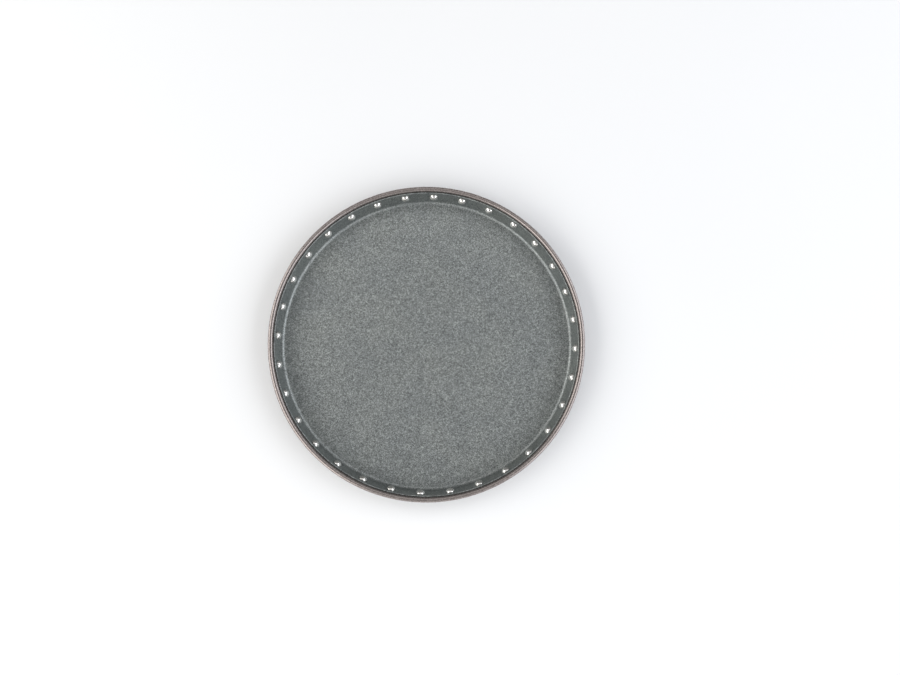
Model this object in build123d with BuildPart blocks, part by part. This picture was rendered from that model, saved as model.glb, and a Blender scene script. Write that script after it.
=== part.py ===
from build123d import *
import math
import os

# A shallow round paten plate: a drawn sheet-metal pan with a low flared wall, a flared hoop
# round the outside of that wall, a round-topped ring that closes the edge, and a row of
# round-head rivets that join the pan to the hoop.
# Millimetres, +Z up. The origin is the centre of the underside, so the plate stands on Z = 0.

# ---- Driving dimensions ----

OVERALL_DIAMETER = 150.0  # across the rim ring
OVERALL_HEIGHT = 12.0  # underside of the pan to the top of the rim ring
WALL_FLARE = 8.0  # degrees that the wall leans out from the vertical

PAN_SHEET = 0.6  # sheet thickness of the pan
COVE_RADIUS = 1.8  # inside radius between the floor and the wall
LIP_DROP = 1.4  # top of the rim ring down to the lip of the pan
LIP_ROUND = 0.25  # rounding of the sheet's two edges at the lip

RING_WIDTH = 2.4  # rim ring, inside to outside
RING_HEIGHT = 3.0  # rim ring, lower edge of its skirt to its top
RING_SEAT_DEPTH = 0.9  # how far the skirt hangs down over the hoop
RING_LIP_GAP = 0.1  # open gap between the lip of the pan and the rim ring
RING_HOOP_CLEARANCE = 0.1  # radial clearance between the skirt and the hoop
RING_SKIRT_ROUND = 0.3  # rounding of the skirt's outer lower edge

HOOP_SHEET = 0.8  # sheet thickness of the hoop
HOOP_FOOT_HEIGHT = 2.4  # underside of the pan to the hoop's lower edge
HOOP_PAN_CLEARANCE = 0.05  # between the pan's wall and the hoop
HOOP_EDGE_ROUND = 0.2  # rounding of the hoop's lower edge

RIVET_COUNT = 32
RIVET_SKIRT_DROP = 2.0  # lower edge of the ring's skirt down to the centre of a rivet's seat
RIVET_SHANK_DIAMETER = 2.5
RIVET_HEAD_DIAMETER = 4.2
RIVET_HEAD_HEIGHT = 1.7
RIVET_HEAD_LAND = 0.15  # short straight edge under the dome
RIVET_TAIL_DIAMETER = 3.6
RIVET_TAIL_HEIGHT = 0.8
RIVET_TAIL_ROUND = 0.3
RIVET_HOLE_CLEARANCE = 0.05  # radial, shank to hole
RIVET_SEAT_CLEARANCE = 0.02  # between a head or a tail and the sheet under it

# ---- Worked out from them ----

FLARE = math.radians(WALL_FLARE)
OUTER_RADIUS = OVERALL_DIAMETER / 2
RING_INNER_RADIUS = OUTER_RADIUS - RING_WIDTH
RING_CROWN_RADIUS = RING_WIDTH / 2
RING_SKIRT_Z = OVERALL_HEIGHT - RING_HEIGHT
HOOP_TOP_Z = RING_SKIRT_Z + RING_SEAT_DEPTH

LIP_Z = OVERALL_HEIGHT - LIP_DROP
LIP_OUTER_RADIUS = RING_INNER_RADIUS - RING_LIP_GAP
RIVET_PITCH = 360 / RIVET_COUNT
RIVET_Z = RING_SKIRT_Z - RIVET_SKIRT_DROP
RIVET_HOLE_RADIUS = RIVET_SHANK_DIAMETER / 2 + RIVET_HOLE_CLEARANCE
RIVET_GRIP = PAN_SHEET + HOOP_PAN_CLEARANCE + HOOP_SHEET


def across_wall(thickness):
    """Radial width of a layer of the flared wall that is this thick, measured square to it."""
    return thickness / math.cos(FLARE)


def wall_radius(height, depth=0.0):
    """Radius of the wall at a height, this deep behind its inner face, measured square to it."""
    lip_inner_radius = LIP_OUTER_RADIUS - across_wall(PAN_SHEET)
    return lip_inner_radius - (LIP_Z - height) * math.tan(FLARE) + across_wall(depth)


def rivet_frame(index):
    """Seat point of one rivet on the wall, the direction round the wall, and its axis inwards."""
    angle = math.radians(index * RIVET_PITCH)
    outward = Vector(math.cos(angle), math.sin(angle), 0)
    along_wall = Vector(-math.sin(angle), math.cos(angle), 0)
    inward = outward * -math.cos(FLARE) + Vector(0, 0, math.sin(FLARE))
    seat = outward * wall_radius(RIVET_Z) + Vector(0, 0, RIVET_Z)
    return seat, along_wall, inward


def rivet_hole_planes():
    """One plane on the wall's inner face for each rivet, square to the rivet."""
    planes = []
    for index in range(RIVET_COUNT):
        seat, along_wall, inward = rivet_frame(index)
        planes.append(Plane(origin=seat, x_dir=along_wall, z_dir=inward))
    return planes


def write_part(piece, name):
    """Label a finished piece and write it as its own STEP file."""
    piece.part.label = name
    export_step(piece.part, f"parts/{name}.step")


os.makedirs("parts", exist_ok=True)

# ---- Pan: floor, cove, flared wall and lip, all of one sheet ----

with BuildPart() as pan:
    with BuildSketch(Plane.XZ) as pan_section:
        with BuildLine():
            inside = FilletPolyline(
                (0, PAN_SHEET),
                (wall_radius(PAN_SHEET), PAN_SHEET),
                (wall_radius(LIP_Z), LIP_Z),
                radius=COVE_RADIUS,
            )
            outside = FilletPolyline(
                (0, 0),
                (wall_radius(0, PAN_SHEET), 0),
                (wall_radius(LIP_Z, PAN_SHEET), LIP_Z),
                radius=COVE_RADIUS + PAN_SHEET,
            )
            Line(inside @ 0, outside @ 0)
            Line(inside @ 1, outside @ 1)
        make_face()
        fillet(pan_section.vertices().group_by(Axis.Y)[-1], radius=LIP_ROUND)
    revolve(axis=Axis.Z)
    with BuildSketch(*rivet_hole_planes()):
        Circle(RIVET_HOLE_RADIUS)
    extrude(amount=2 * RIVET_GRIP, both=True, mode=Mode.SUBTRACT)
write_part(pan, "pan")

# ---- Outer hoop: flared band behind the wall, which the rivets are set against ----

with BuildPart() as outer_hoop:
    hoop_inner_depth = PAN_SHEET + HOOP_PAN_CLEARANCE
    hoop_outer_depth = hoop_inner_depth + HOOP_SHEET
    with BuildSketch(Plane.XZ) as hoop_section:
        with BuildLine():
            Polyline(
                (wall_radius(HOOP_FOOT_HEIGHT, hoop_inner_depth), HOOP_FOOT_HEIGHT),
                (wall_radius(HOOP_TOP_Z, hoop_inner_depth), HOOP_TOP_Z),
                (wall_radius(HOOP_TOP_Z, hoop_outer_depth), HOOP_TOP_Z),
                (wall_radius(HOOP_FOOT_HEIGHT, hoop_outer_depth), HOOP_FOOT_HEIGHT),
                close=True,
            )
        make_face()
        fillet(hoop_section.vertices().group_by(Axis.Y)[0], radius=HOOP_EDGE_ROUND)
    revolve(axis=Axis.Z)
    with BuildSketch(*rivet_hole_planes()):
        Circle(RIVET_HOLE_RADIUS)
    extrude(amount=2 * RIVET_GRIP, both=True, mode=Mode.SUBTRACT)
write_part(outer_hoop, "outer_hoop")

# ---- Rim ring: round on top, stepped below so that it sits on the hoop's top edge ----

with BuildPart() as rim_ring:
    seat_radius = wall_radius(HOOP_TOP_Z, RIVET_GRIP) + RING_HOOP_CLEARANCE
    crown_z = OVERALL_HEIGHT - RING_CROWN_RADIUS
    with BuildSketch(Plane.XZ) as ring_section:
        with BuildLine():
            sides = Polyline(
                (RING_INNER_RADIUS, crown_z),
                (RING_INNER_RADIUS, HOOP_TOP_Z),
                (seat_radius, HOOP_TOP_Z),
                (seat_radius, RING_SKIRT_Z),
                (OUTER_RADIUS, RING_SKIRT_Z),
                (OUTER_RADIUS, crown_z),
            )
            top = (OUTER_RADIUS - RING_CROWN_RADIUS, OVERALL_HEIGHT)
            ThreePointArc(sides @ 1, top, sides @ 0)
        make_face()
        skirt_corner = ring_section.vertices().group_by(Axis.Y)[0].sort_by(Axis.X)[-1]
        fillet(skirt_corner, radius=RING_SKIRT_ROUND)
    revolve(axis=Axis.Z)
write_part(rim_ring, "rim_ring")

# ---- Rivets: round head inside the wall, tail set against the outside of the hoop ----

head_radius = RIVET_HEAD_DIAMETER / 2
shank_radius = RIVET_SHANK_DIAMETER / 2
tail_radius = RIVET_TAIL_DIAMETER / 2
# A flat seat on a hollow wall rests on its edges, so it stands off by the wall's rise there.
head_seat = head_radius**2 / (2 * across_wall(wall_radius(RIVET_Z))) + RIVET_SEAT_CLEARANCE
head_edge = head_seat + RIVET_HEAD_LAND
head_top = head_seat + RIVET_HEAD_HEIGHT
dome_rise = head_top - head_edge
dome_radius = (head_radius**2 + dome_rise**2) / (2 * dome_rise)
dome_start = math.degrees(math.acos(head_radius / dome_radius))
tail_seat = -RIVET_GRIP - RIVET_SEAT_CLEARANCE
tail_end = tail_seat - RIVET_TAIL_HEIGHT

for rivet_index in range(RIVET_COUNT):
    seat_point, round_wall, rivet_axis = rivet_frame(rivet_index)
    half_section = Plane(origin=seat_point, x_dir=round_wall, z_dir=round_wall.cross(rivet_axis))
    with BuildPart() as rivet:
        with BuildSketch(half_section) as rivet_section:
            with BuildLine():
                Polyline(
                    (0, head_top),
                    (0, tail_end),
                    (tail_radius, tail_end),
                    (tail_radius, tail_seat),
                    (shank_radius, tail_seat),
                    (shank_radius, head_seat),
                    (head_radius, head_seat),
                    (head_radius, head_edge),
                )
                CenterArc((0, head_top - dome_radius), dome_radius, dome_start, 90 - dome_start)
            make_face()
            tail_corner = rivet_section.vertices().group_by(Axis.Y)[0].sort_by(Axis.X)[-1]
            fillet(tail_corner, radius=RIVET_TAIL_ROUND)
        revolve(axis=Axis(seat_point, rivet_axis))
    write_part(rivet, f"rivet_{rivet_index + 1:02d}")
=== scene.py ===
import math

import bpy
from mathutils import Matrix, Vector


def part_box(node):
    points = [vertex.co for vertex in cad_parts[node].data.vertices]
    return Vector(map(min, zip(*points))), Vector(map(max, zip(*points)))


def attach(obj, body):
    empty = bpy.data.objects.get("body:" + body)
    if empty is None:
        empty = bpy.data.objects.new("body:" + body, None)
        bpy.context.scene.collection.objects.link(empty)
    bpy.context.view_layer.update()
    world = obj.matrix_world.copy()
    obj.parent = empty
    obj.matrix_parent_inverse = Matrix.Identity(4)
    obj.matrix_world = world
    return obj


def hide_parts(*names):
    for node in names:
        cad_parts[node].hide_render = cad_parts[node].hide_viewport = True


# The looks of a shallow round paten plate, in metres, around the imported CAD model.
# Every piece is a fine lathed mesh that stands for one CAD node.

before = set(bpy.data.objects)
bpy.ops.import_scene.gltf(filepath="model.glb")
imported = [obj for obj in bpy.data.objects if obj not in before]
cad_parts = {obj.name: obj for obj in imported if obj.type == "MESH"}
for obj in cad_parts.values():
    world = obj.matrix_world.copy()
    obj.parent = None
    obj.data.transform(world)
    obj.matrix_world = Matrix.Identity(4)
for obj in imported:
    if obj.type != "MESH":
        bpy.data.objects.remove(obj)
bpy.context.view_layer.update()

MM = 0.001

# ---- Sizes read from the frame ----

_, pan_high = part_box("pan")
hoop_low, hoop_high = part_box("outer_hoop")
ring_low, ring_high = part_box("rim_ring")
rivet_nodes = sorted(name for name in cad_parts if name.startswith("rivet_"))
OUTER_RADIUS = ring_high.x
RING_TOP = ring_high.z
LIP_RADIUS = pan_high.x
LIP_HEIGHT = pan_high.z

# ---- Sizes that the frame doesn't state, as in the CAD model ----

FLARE = math.radians(8.0)
SHEET = 0.6 * MM
HOOP_SHEET = 0.8 * MM
COVE_RADIUS = 1.8 * MM
LIP_ROUND = 0.25 * MM
HOOP_CLEARANCE = 0.05 * MM
RING_WIDTH = 2.4 * MM
RING_HOOP_CLEARANCE = 0.1 * MM
RING_SKIRT_ROUND = 0.3 * MM
HOOP_EDGE_ROUND = 0.2 * MM
RIVET_HEAD_RADIUS = 2.1 * MM
RIVET_HEAD_HEIGHT = 1.7 * MM
RIVET_HEAD_LAND = 0.15 * MM
RIVET_SHANK_RADIUS = 1.25 * MM
RIVET_TAIL_RADIUS = 1.8 * MM
RIVET_TAIL_HEIGHT = 0.8 * MM
RIVET_TAIL_ROUND = 0.3 * MM
RIVET_GRIP = SHEET + HOOP_CLEARANCE + HOOP_SHEET
RIVET_HEAD_SEAT = 0.051 * MM
RIVET_TAIL_SEAT = 0.02 * MM
RIVET_SKIRT_DROP = 2.0 * MM  # lower edge of the rim ring down to a rivet's centre
RIVET_HEIGHT = ring_low.z - RIVET_SKIRT_DROP

STEPS_ROUND = 24 * len(rivet_nodes)  # lathe steps, a whole number of them to each rivet

# ---- Finishes ----

PAN_DARK = (0.085, 0.089, 0.089)
PAN_MIDDLE = (0.266, 0.282, 0.279)
PAN_PALE = (0.56, 0.590, 0.577)
PAN_ROUGH = 0.44
PAN_METALLIC = 0.80
RIM_DARK = (0.30, 0.262, 0.250)
RIM_PALE = (0.41, 0.365, 0.352)
RIM_ROUGH = 0.27
RIM_METALLIC = 0.9
HOOP_DARK = (0.14, 0.12, 0.115)
HOOP_PALE = (0.20, 0.175, 0.17)
HOOP_METALLIC = 0.9
SPECK_COLOUR = (0.62, 0.62, 0.58)
SPECK_STRENGTH = 0.6

# ---- Picture ----

PICTURE_TURN = math.radians(2.5)  # the picture's right-hand direction, turned from +X
CAMERA_LENS = 27
CAMERA_SENSOR = 36
CAMERA_YAW = math.radians(1.26)
CAMERA_PITCH = math.radians(5.74)
CAMERA_PLACE = Vector((3.8 * MM, -30.3 * MM, 318.2 * MM))  # from the centre of the ring's bead
FLOOR_HALF = 3.0
WORLD_STRENGTH = 0.2


def wall_radius(height, depth=0.0):
    """Radius of the flared wall at a height, this deep behind its inner face."""
    slope = (height - LIP_HEIGHT) * math.tan(FLARE)
    return LIP_RADIUS + slope + (depth - SHEET) / math.cos(FLARE)


# ---- Mesh helpers ----


def arc(centre, radius, start, end, count):
    """Points of an arc in the section plane, from one angle to another, in degrees."""
    points = []
    for step in range(count + 1):
        angle = math.radians(start + (end - start) * step / count)
        points.append((centre[0] + radius * math.cos(angle), centre[1] + radius * math.sin(angle)))
    return points


def run(start, end, count):
    """Points of a straight run in the section plane, without its last point."""
    return [
        (
            start[0] + (end[0] - start[0]) * step / count,
            start[1] + (end[1] - start[1]) * step / count,
        )
        for step in range(count)
    ]


def lathe(name, outline, steps, closed):
    """Mesh object of an outline of (radius, height) points turned about Z.

    A closed outline makes a ring. An open one starts and ends on the axis.
    """
    vertices = []
    rows = []
    for radius, height in outline:
        if radius < 1e-9:
            rows.append([len(vertices)])
            vertices.append((0.0, 0.0, height))
            continue
        rows.append(list(range(len(vertices), len(vertices) + steps)))
        for step in range(steps):
            angle = 2 * math.pi * step / steps
            vertices.append((radius * math.cos(angle), radius * math.sin(angle), height))
    pairs = list(zip(rows, rows[1:]))
    if closed:
        pairs.append((rows[-1], rows[0]))
    faces = []
    for below, above in pairs:
        for step in range(steps):
            following = (step + 1) % steps
            if len(below) == 1:
                faces.append((below[0], above[following], above[step]))
            elif len(above) == 1:
                faces.append((below[step], below[following], above[0]))
            else:
                faces.append((below[step], below[following], above[following], above[step]))
    mesh = bpy.data.meshes.new(name)
    mesh.from_pydata(vertices, [], faces)
    mesh.shade_smooth()
    piece = bpy.data.objects.new(name, mesh)
    bpy.context.scene.collection.objects.link(piece)
    return piece


def finish_piece(piece, node, material):
    """Give a piece its material and its place in the frame."""
    piece.data.materials.append(material)
    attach(piece, "root")
    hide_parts(node)


# ---- Materials ----


def new_material(name):
    """Empty node material with its Principled shader and Object coordinates."""
    material = bpy.data.materials.new(name)
    material.use_nodes = True
    nodes = material.node_tree.nodes
    shader = nodes["Principled BSDF"]
    where = nodes.new("ShaderNodeTexCoord").outputs["Object"]
    return material, shader, where


def add_noise(material, where, scale, detail, roughness=0.5):
    """Noise of about 1 / scale metres, as a value from 0 to 1."""
    noise = material.node_tree.nodes.new("ShaderNodeTexNoise")
    noise.inputs["Scale"].default_value = scale
    noise.inputs["Detail"].default_value = detail
    noise.inputs["Roughness"].default_value = roughness
    material.node_tree.links.new(where, noise.inputs["Vector"])
    return noise.outputs["Fac"]


def add_ramp(material, value, stops):
    """Colour ramp over a value, from (position, colour) stops."""
    ramp = material.node_tree.nodes.new("ShaderNodeValToRGB")
    material.node_tree.links.new(value, ramp.inputs["Fac"])
    while len(ramp.color_ramp.elements) < len(stops):
        ramp.color_ramp.elements.new(0.5)
    for element, (position, colour) in zip(ramp.color_ramp.elements, stops):
        element.position = position
        element.color = (*colour, 1.0)
    return ramp.outputs["Color"]


def add_range(material, value, low, high, new_low, new_high):
    """A value mapped from one range to another."""
    node = material.node_tree.nodes.new("ShaderNodeMapRange")
    node.inputs["From Min"].default_value = low
    node.inputs["From Max"].default_value = high
    node.inputs["To Min"].default_value = new_low
    node.inputs["To Max"].default_value = new_high
    material.node_tree.links.new(value, node.inputs["Value"])
    return node.outputs["Result"]


def add_math(material, operation, first, second=None):
    """One math node. Either input may be a socket or a number."""
    node = material.node_tree.nodes.new("ShaderNodeMath")
    node.operation = operation
    for index, value in enumerate((first, second)):
        if isinstance(value, (int, float)):
            node.inputs[index].default_value = value
        elif value is not None:
            material.node_tree.links.new(value, node.inputs[index])
    return node.outputs[0]


def add_mix(material, kind, amount, first, second):
    """Two colours mixed, blended as kind says."""
    node = material.node_tree.nodes.new("ShaderNodeMix")
    node.data_type = "RGBA"
    node.blend_type = kind
    links = material.node_tree.links
    if isinstance(amount, (int, float)):
        node.inputs["Factor"].default_value = amount
    else:
        links.new(amount, node.inputs["Factor"])
    for socket, value in ((node.inputs[6], first), (node.inputs[7], second)):
        if isinstance(value, tuple):
            socket.default_value = (*value, 1.0)
        else:
            links.new(value, socket)
    return node.outputs[2]


def add_bump(material, shader, height, strength, distance):
    """Bump from a height value, into the shader's normal."""
    node = material.node_tree.nodes.new("ShaderNodeBump")
    node.inputs["Strength"].default_value = strength
    node.inputs["Distance"].default_value = distance
    material.node_tree.links.new(height, node.inputs["Height"])
    material.node_tree.links.new(node.outputs["Normal"], shader.inputs["Normal"])


def link(material, output, socket):
    material.node_tree.links.new(output, socket)


def square(material, value):
    return add_math(material, "MULTIPLY", value, value)


def round_the_axis(material, where, around, across):
    """Coordinates for marks that run round the plate: long round it, short across it."""
    tree = material.node_tree
    split = tree.nodes.new("ShaderNodeSeparateXYZ")
    tree.links.new(where, split.inputs[0])
    x, y, z = split.outputs
    squares = add_math(material, "ADD", square(material, x), square(material, y))
    radius = add_math(material, "SQRT", squares)
    angle = add_math(material, "ARCTAN2", y, x)
    join = tree.nodes.new("ShaderNodeCombineXYZ")
    link(material, add_math(material, "MULTIPLY", radius, across), join.inputs[0])
    link(material, add_math(material, "MULTIPLY", angle, around), join.inputs[1])
    link(material, add_math(material, "MULTIPLY", z, across), join.inputs[2])
    return join.outputs[0]


def add_specks(material, where, scale, size):
    """1 inside sparse little spots, one or none to each cell of 1 / scale metres."""
    cells = material.node_tree.nodes.new("ShaderNodeTexVoronoi")
    cells.inputs["Scale"].default_value = scale
    link(material, where, cells.inputs["Vector"])
    split = material.node_tree.nodes.new("ShaderNodeSeparateColor")
    link(material, cells.outputs["Color"], split.inputs[0])
    spot = add_range(material, cells.outputs["Distance"], size, size * 0.6, 0, 1)
    chosen = add_math(material, "GREATER_THAN", split.outputs[0], 0.55)
    return add_math(material, "MULTIPLY", spot, chosen)


def pan_coating():
    """Fine-grained matt coating of the pan, dark grey with a slight cool tint."""
    material, shader, where = new_material("pan_coating")
    grain = add_noise(material, where, 2600, 2, 0.7)
    cloud = add_noise(material, where, 45, 3)
    pebble = add_noise(material, where, 1000, 2)
    colour = add_ramp(
        material,
        grain,
        [(0.30, PAN_DARK), (0.5, PAN_MIDDLE), (0.70, PAN_PALE)],
    )
    shade = add_ramp(material, cloud, [(0.3, (0.90, 0.91, 0.92)), (0.7, (1.0, 1.0, 0.985))])
    colour = add_mix(material, "MULTIPLY", 1.0, colour, shade)
    blotch = add_ramp(material, pebble, [(0.3, (0.78, 0.78, 0.78)), (0.7, (1.18, 1.18, 1.18))])
    colour = add_mix(material, "MULTIPLY", 1.0, colour, blotch)
    specks = add_specks(material, where, 60, 0.022)
    speckled = add_math(material, "MULTIPLY", specks, SPECK_STRENGTH)
    colour = add_mix(material, "MIX", speckled, colour, SPECK_COLOUR)
    link(material, colour, shader.inputs["Base Color"])
    rough = add_range(material, grain, 0.3, 0.7, PAN_ROUGH - 0.05, PAN_ROUGH + 0.07)
    drift = add_range(material, cloud, 0.3, 0.7, -0.015, 0.015)
    link(material, add_math(material, "ADD", rough, drift), shader.inputs["Roughness"])
    shader.inputs["Metallic"].default_value = PAN_METALLIC
    add_bump(material, shader, grain, 0.35, 0.05 * MM)
    return material


def rim_finish():
    """Warm brown-grey satin of the rim ring, with faint lines from its turning."""
    material, shader, where = new_material("rim_finish")
    mottle = add_noise(material, where, 1300, 3)
    lines = add_noise(material, round_the_axis(material, where, 6, 9000), 1, 2)
    colour = add_ramp(material, mottle, [(0.3, RIM_DARK), (0.7, RIM_PALE)])
    streak = add_ramp(material, lines, [(0.35, (0.90, 0.89, 0.88)), (0.65, (1.0, 1.0, 1.0))])
    colour = add_mix(material, "MULTIPLY", 1.0, colour, streak)
    link(material, colour, shader.inputs["Base Color"])
    rough = add_range(material, mottle, 0.3, 0.7, RIM_ROUGH - 0.04, RIM_ROUGH + 0.06)
    link(material, rough, shader.inputs["Roughness"])
    shader.inputs["Metallic"].default_value = RIM_METALLIC
    add_bump(material, shader, lines, 0.25, 0.01 * MM)
    return material


def hoop_finish():
    """Darker satin of the hoop behind the wall."""
    material, shader, where = new_material("hoop_finish")
    mottle = add_noise(material, where, 900, 3)
    lines = add_noise(material, round_the_axis(material, where, 5, 3000), 1, 3)
    colour = add_ramp(material, mottle, [(0.3, HOOP_DARK), (0.7, HOOP_PALE)])
    streak = add_ramp(material, lines, [(0.3, (0.85, 0.84, 0.83)), (0.7, (1.0, 1.0, 1.0))])
    colour = add_mix(material, "MULTIPLY", 1.0, colour, streak)
    link(material, colour, shader.inputs["Base Color"])
    link(material, add_range(material, lines, 0.3, 0.7, 0.36, 0.5), shader.inputs["Roughness"])
    shader.inputs["Metallic"].default_value = HOOP_METALLIC
    add_bump(material, shader, lines, 0.25, 0.02 * MM)
    return material


def rivet_metal():
    """Bright polished rivet metal, a little duller in places."""
    material, shader, where = new_material("rivet_metal")
    mottle = add_noise(material, where, 1500, 3)
    tint = add_noise(material, where, 30, 1)
    colour = add_ramp(material, mottle, [(0.3, (0.74, 0.73, 0.71)), (0.7, (0.90, 0.89, 0.875))])
    shade = add_ramp(material, tint, [(0.3, (0.90, 0.89, 0.87)), (0.7, (1.0, 1.0, 1.0))])
    colour = add_mix(material, "MULTIPLY", 1.0, colour, shade)
    link(material, colour, shader.inputs["Base Color"])
    link(material, add_range(material, mottle, 0.3, 0.7, 0.12, 0.24), shader.inputs["Roughness"])
    shader.inputs["Metallic"].default_value = 1.0
    add_bump(material, shader, mottle, 0.15, 0.02 * MM)
    return material


# ---- Pieces ----


def make_pan(material):
    """One drawn sheet: floor, cove, flared wall, rounded lip, and the same again outside."""
    turn = 90 - math.degrees(FLARE)
    reach = math.tan(math.radians(turn / 2))
    inner_corner = wall_radius(SHEET)
    outer_corner = wall_radius(0, SHEET)
    outer_cove = COVE_RADIUS + SHEET
    cove_centre = (inner_corner - COVE_RADIUS * reach, SHEET + COVE_RADIUS)
    outer_centre = (outer_corner - outer_cove * reach, outer_cove)
    lip_in = wall_radius(LIP_HEIGHT)
    lean = math.degrees(FLARE)
    inner_cove = arc(cove_centre, COVE_RADIUS, -90, -lean, 20)
    lip_left = arc((lip_in + LIP_ROUND, LIP_HEIGHT - LIP_ROUND), LIP_ROUND, 180 - lean, 90, 6)
    lip_right = arc((LIP_RADIUS - LIP_ROUND, LIP_HEIGHT - LIP_ROUND), LIP_ROUND, 90, -lean, 6)
    lower_cove = arc(outer_centre, outer_cove, -lean, -90, 20)
    outline = run((0, SHEET), inner_cove[0], 40)
    outline += inner_cove[:-1]
    outline += run(inner_cove[-1], lip_left[0], 30)
    outline += lip_left + lip_right[:-1]
    outline += run(lip_right[-1], lower_cove[0], 12)
    outline += lower_cove[:-1]
    outline += run(lower_cove[-1], (0, 0), 20)
    outline.append((0, 0))
    pan = lathe("pan_shell", outline, STEPS_ROUND, closed=False)
    finish_piece(pan, "pan", material)
    return pan


def make_hoop(material):
    """Flared band behind the pan's wall."""
    inner = SHEET + HOOP_CLEARANCE
    outer = inner + HOOP_SHEET
    low, high = hoop_low.z, hoop_high.z
    edge = HOOP_EDGE_ROUND
    edge_height = low + edge
    lean = math.degrees(FLARE)
    inset = edge / math.cos(FLARE)
    inner_centre = (wall_radius(edge_height, inner) + inset, edge_height)
    outer_centre = (wall_radius(edge_height, outer) - inset, edge_height)
    inner_edge = arc(inner_centre, edge, 180 - lean, 270, 6)
    outer_edge = arc(outer_centre, edge, -90, -lean, 6)
    inner_top = (wall_radius(high, inner), high)
    outer_top = (wall_radius(high, outer), high)
    outline = inner_edge[:-1]
    outline += run(inner_edge[-1], outer_edge[0], 4)
    outline += outer_edge[:-1]
    outline += run(outer_edge[-1], outer_top, 8)
    outline += run(outer_top, inner_top, 4)
    outline += run(inner_top, inner_edge[0], 8)
    hoop = lathe("hoop_band", outline, STEPS_ROUND, closed=True)
    finish_piece(hoop, "outer_hoop", material)
    return hoop


def make_ring(material):
    """Round-topped ring that closes the edge, stepped below to sit on the hoop."""
    crown = RING_WIDTH / 2
    inner = OUTER_RADIUS - RING_WIDTH
    hoop_top = hoop_high.z
    seat = wall_radius(hoop_top, RIVET_GRIP) + RING_HOOP_CLEARANCE
    top = arc((OUTER_RADIUS - crown, RING_TOP - crown), crown, 0, 180, 32)
    skirt_round = RING_SKIRT_ROUND
    skirt_centre = (OUTER_RADIUS - skirt_round, ring_low.z + skirt_round)
    skirt_edge = arc(skirt_centre, skirt_round, -90, 0, 6)
    outline = skirt_edge[:-1]
    outline += run(skirt_edge[-1], top[0], 8)
    outline += top[:-1]
    outline += run(top[-1], (inner, hoop_top), 4)
    outline += run((inner, hoop_top), (seat, hoop_top), 3)
    outline += run((seat, hoop_top), (seat, ring_low.z), 4)
    outline += run((seat, ring_low.z), skirt_edge[0], 4)
    ring = lathe("rim_bead", outline, STEPS_ROUND, closed=True)
    finish_piece(ring, "rim_ring", material)
    return ring


def rivet_place(index):
    """Matrix from a rivet's own frame, +Z into the dish, to the frame."""
    angle = 2 * math.pi * index / len(rivet_nodes)
    outward = Vector((math.cos(angle), math.sin(angle), 0))
    along = Vector((-math.sin(angle), math.cos(angle), 0))
    inward = outward * -math.cos(FLARE) + Vector((0, 0, math.sin(FLARE)))
    seat = outward * wall_radius(RIVET_HEIGHT) + Vector((0, 0, RIVET_HEIGHT))
    place = Matrix((along, inward.cross(along), inward)).transposed().to_4x4()
    place.translation = seat
    return place


def make_rivets(material):
    """Round head inside the wall, shank, and a set tail against the hoop."""
    rise = RIVET_HEAD_HEIGHT - RIVET_HEAD_LAND
    dome = (RIVET_HEAD_RADIUS**2 + rise**2) / (2 * rise)
    head_top = RIVET_HEAD_SEAT + RIVET_HEAD_HEIGHT
    start = math.degrees(math.acos(RIVET_HEAD_RADIUS / dome))
    tail_seat = -RIVET_GRIP - RIVET_TAIL_SEAT
    tail_end = tail_seat - RIVET_TAIL_HEIGHT
    outline = [(0, tail_end)]
    edge_centre = (RIVET_TAIL_RADIUS - RIVET_TAIL_ROUND, tail_end + RIVET_TAIL_ROUND)
    outline += arc(edge_centre, RIVET_TAIL_ROUND, -90, 0, 6)
    outline.append((RIVET_TAIL_RADIUS, tail_seat))
    outline.append((RIVET_SHANK_RADIUS, tail_seat))
    outline.append((RIVET_SHANK_RADIUS, RIVET_HEAD_SEAT))
    outline.append((RIVET_HEAD_RADIUS, RIVET_HEAD_SEAT))
    outline += arc((0, head_top - dome), dome, start, 90, 20)[:-1]
    outline.append((0, head_top))
    for index, node in enumerate(rivet_nodes):
        rivet = lathe(f"round_head_{node}", outline, 48, closed=False)
        rivet.data.transform(rivet_place(index))
        finish_piece(rivet, node, material)


# ---- Stage, lights and camera ----


def make_stage():
    """Plain pale floor."""
    mesh = bpy.data.meshes.new("floor")
    half = FLOOR_HALF
    corners = [(-half, -half, 0), (half, -half, 0), (half, half, 0), (-half, half, 0)]
    mesh.from_pydata(corners, [], [(0, 1, 2, 3)])
    floor = bpy.data.objects.new("floor", mesh)
    bpy.context.scene.collection.objects.link(floor)
    material, shader, where = new_material("floor_paper")
    tone = add_noise(material, where, 3, 2)
    paper = add_ramp(material, tone, [(0.3, (0.86, 0.865, 0.875)), (0.7, (0.88, 0.885, 0.89))])
    link(material, paper, shader.inputs["Base Color"])
    shader.inputs["Roughness"].default_value = 0.9
    mesh.materials.append(material)


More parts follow.
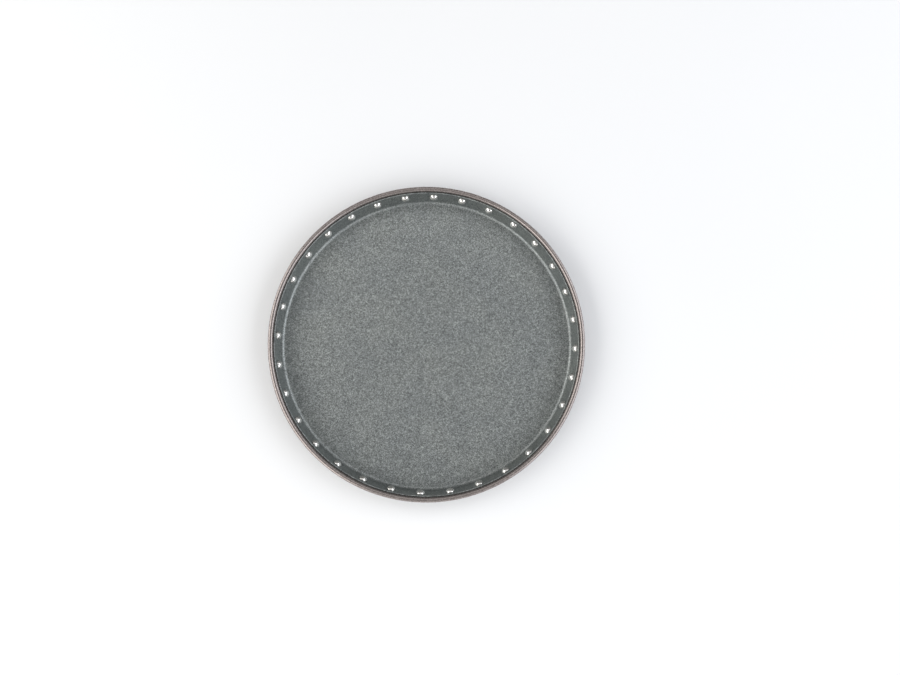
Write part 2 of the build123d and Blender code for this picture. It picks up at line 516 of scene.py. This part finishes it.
def add_light(name, azimuth, elevation, distance, width, height, power, colour=(1, 1, 1)):
    """Soft area light that faces the plate. Azimuth 0 is the picture's right, 90 its top."""
    light = bpy.data.lights.new(name, "AREA")
    light.shape = "RECTANGLE"
    light.size = width
    light.size_y = height
    light.energy = power
    light.color = colour
    holder = bpy.data.objects.new(name, light)
    a = math.radians(azimuth) + PICTURE_TURN
    e = math.radians(elevation)
    direction = Vector((math.cos(a) * math.cos(e), math.sin(a) * math.cos(e), math.sin(e)))
    holder.location = direction * distance
    holder.rotation_mode = "QUATERNION"
    holder.rotation_quaternion = direction.to_track_quat("Z", "Y")
    bpy.context.scene.collection.objects.link(holder)


def make_camera():
    """Camera of a phone held over the plate, tipped a little away from straight down."""
    camera = bpy.data.cameras.new("camera")
    camera.sensor_width = CAMERA_SENSOR
    camera.lens = CAMERA_LENS
    camera.clip_start = 0.01
    camera.clip_end = 20
    holder = bpy.data.objects.new("camera", camera)
    turn = Matrix.Rotation(PICTURE_TURN, 3, "Z")
    across = Vector((1, 0, 0))
    looking = Vector((math.tan(CAMERA_YAW), math.tan(CAMERA_PITCH), -1)).normalized()
    right = (across - looking * across.dot(looking)).normalized()
    up = right.cross(looking)
    rotation = turn @ Matrix((right, up, -looking)).transposed()
    place = rotation.to_4x4()
    equator = RING_TOP - RING_WIDTH / 2
    place.translation = turn @ CAMERA_PLACE + Vector((0, 0, equator))
    holder.matrix_world = place
    bpy.context.scene.collection.objects.link(holder)
    bpy.context.scene.camera = holder


def make_world():
    """Dim white surroundings."""
    world = bpy.data.worlds.new("studio")
    world.use_nodes = True
    background = world.node_tree.nodes["Background"]
    background.inputs["Color"].default_value = (1, 1, 1, 1)
    background.inputs["Strength"].default_value = WORLD_STRENGTH
    bpy.context.scene.world = world


bpy.context.scene.view_settings.view_transform = "Standard"
make_world()
make_stage()
make_camera()
add_light("right softbox", -8, 36, 1.0, 1.7, 0.7, 8.9, (0.96, 0.985, 1.03))
add_light("left softbox", 190, 36, 1.0, 1.7, 0.7, 10.0, (1.01, 1.0, 0.98))
add_light("far softbox", 90, 60, 1.0, 1.2, 0.6, 1.6)
add_light("near reflector", 262, 24, 1.0, 1.2, 0.4, 1.6)
add_light("overhead softbox", 262, 72, 1.0, 0.9, 0.5, 0.55)
make_pan(pan_coating())
make_hoop(hoop_finish())
make_ring(rim_finish())
make_rivets(rivet_metal())
